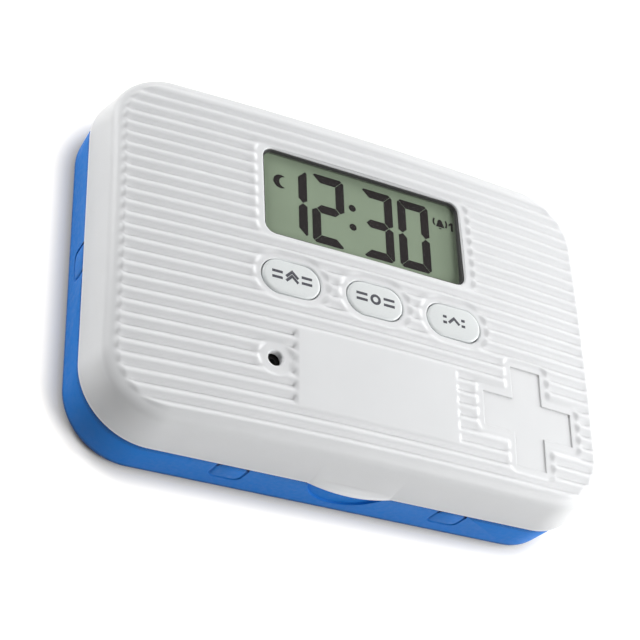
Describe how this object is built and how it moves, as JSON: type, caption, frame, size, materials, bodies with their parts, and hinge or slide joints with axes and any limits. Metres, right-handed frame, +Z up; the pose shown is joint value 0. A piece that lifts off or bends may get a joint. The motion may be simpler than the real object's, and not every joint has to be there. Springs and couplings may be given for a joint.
{
  "type": "electronic pill box",
  "caption": "Flat pocket pill box: translucent tray with compartments under a ribbed, hinged lid that carries a display, push buttons and an alarm.",
  "frame": {"origin": "middle of the flat underside, on the table", "axes": "+X along the display's text and the long side, +Y towards the hinge, +Z up through the lid's face"},
  "size_m": [0.1032, 0.077, 0.022],
  "materials": {
    "lid_plastic": "satin white ABS, moulded ribs",
    "base_plastic": "translucent blue, semi-gloss",
    "divider_plastic": "translucent blue, semi-gloss",
    "hinge_pin_steel": "drawn steel wire",
    "gasket_rubber": "black rubber",
    "lens_acrylic": "clear acrylic",
    "panel_glass": "grey-green liquid crystal panel with dark segments",
    "frame_plastic": "white ABS",
    "connector_rubber": "layered conductive rubber",
    "board_fibreglass": "green solder mask",
    "buzzer_plastic": "black moulded",
    "blob_epoxy": "black epoxy",
    "crystal_can": "nickel can",
    "switch_plastic": "black moulded",
    "button_plastic": "satin white with a printed mark",
    "plunger_plastic": "white moulded",
    "inner_cover_plastic": "white ABS",
    "battery_cover_plastic": "white ABS",
    "cell_nickel": "nickel-plated steel",
    "contact_nickel": "nickel-plated spring steel",
    "screw_steel": "zinc-plated steel"
  },
  "bodies": {
    "base": {"base_shell": "base_plastic", "compartment_divider": "divider_plastic", "hinge_pin_left": "hinge_pin_steel", "hinge_pin_right": "hinge_pin_steel"},
    "lid": {"lid_shell": "lid_plastic", "display_lens": "lens_acrylic", "window_gasket": "gasket_rubber", "lcd_panel": "panel_glass", "display_frame": "frame_plastic", "zebra_connector": "connector_rubber", "circuit_board": "board_fibreglass", "buzzer": "buzzer_plastic", "controller_blob": "blob_epoxy", "quartz_crystal": "crystal_can", "tact_switch_hour": "switch_plastic", "tact_switch_mode": "switch_plastic", "tact_switch_minute": "switch_plastic", "inner_cover": "inner_cover_plastic", "coin_cell": "cell_nickel", "battery_contact_positive": "contact_nickel", "battery_contact_negative": "contact_nickel", "cover_screw_front_left": "screw_steel", "cover_screw_front_right": "screw_steel", "cover_screw_back_left": "screw_steel", "cover_screw_back_right": "screw_steel", "board_screw_front_left": "screw_steel", "board_screw_front_right": "screw_steel", "board_screw_back_left": "screw_steel", "board_screw_back_right": "screw_steel"},
    "hour_button": {"button_hour": "button_plastic", "switch_plunger_hour": "plunger_plastic"},
    "mode_button": {"button_mode": "button_plastic", "switch_plunger_mode": "plunger_plastic"},
    "minute_button": {"button_minute": "button_plastic", "switch_plunger_minute": "plunger_plastic"},
    "battery_cover": {"battery_cover": "battery_cover_plastic"}
  },
  "joints": [
    {"name": "lid_hinge", "type": "hinge", "parent": "base", "child": "lid", "pos_m": [0, 0.03775, 0.0104], "axis": [-1, 0, 0], "range_deg": [0, 110]},
    {"name": "hour_press", "type": "slide", "parent": "lid", "child": "hour_button", "axis": [0, 0, -1], "range_m": [0, 0.00035], "stiffness_N_per_m": 1200, "springref_m": -0.0003},
    {"name": "mode_press", "type": "slide", "parent": "lid", "child": "mode_button", "axis": [0, 0, -1], "range_m": [0, 0.00035], "stiffness_N_per_m": 1200, "springref_m": -0.0003},
    {"name": "minute_press", "type": "slide", "parent": "lid", "child": "minute_button", "axis": [0, 0, -1], "range_m": [0, 0.00035], "stiffness_N_per_m": 1200, "springref_m": -0.0003},
    {"name": "battery_cover_turn", "type": "hinge", "parent": "lid", "child": "battery_cover", "pos_m": [0.0364, 0, 0.0131], "axis": [0, 0, 1], "range_deg": [0, 40]}
  ]
}
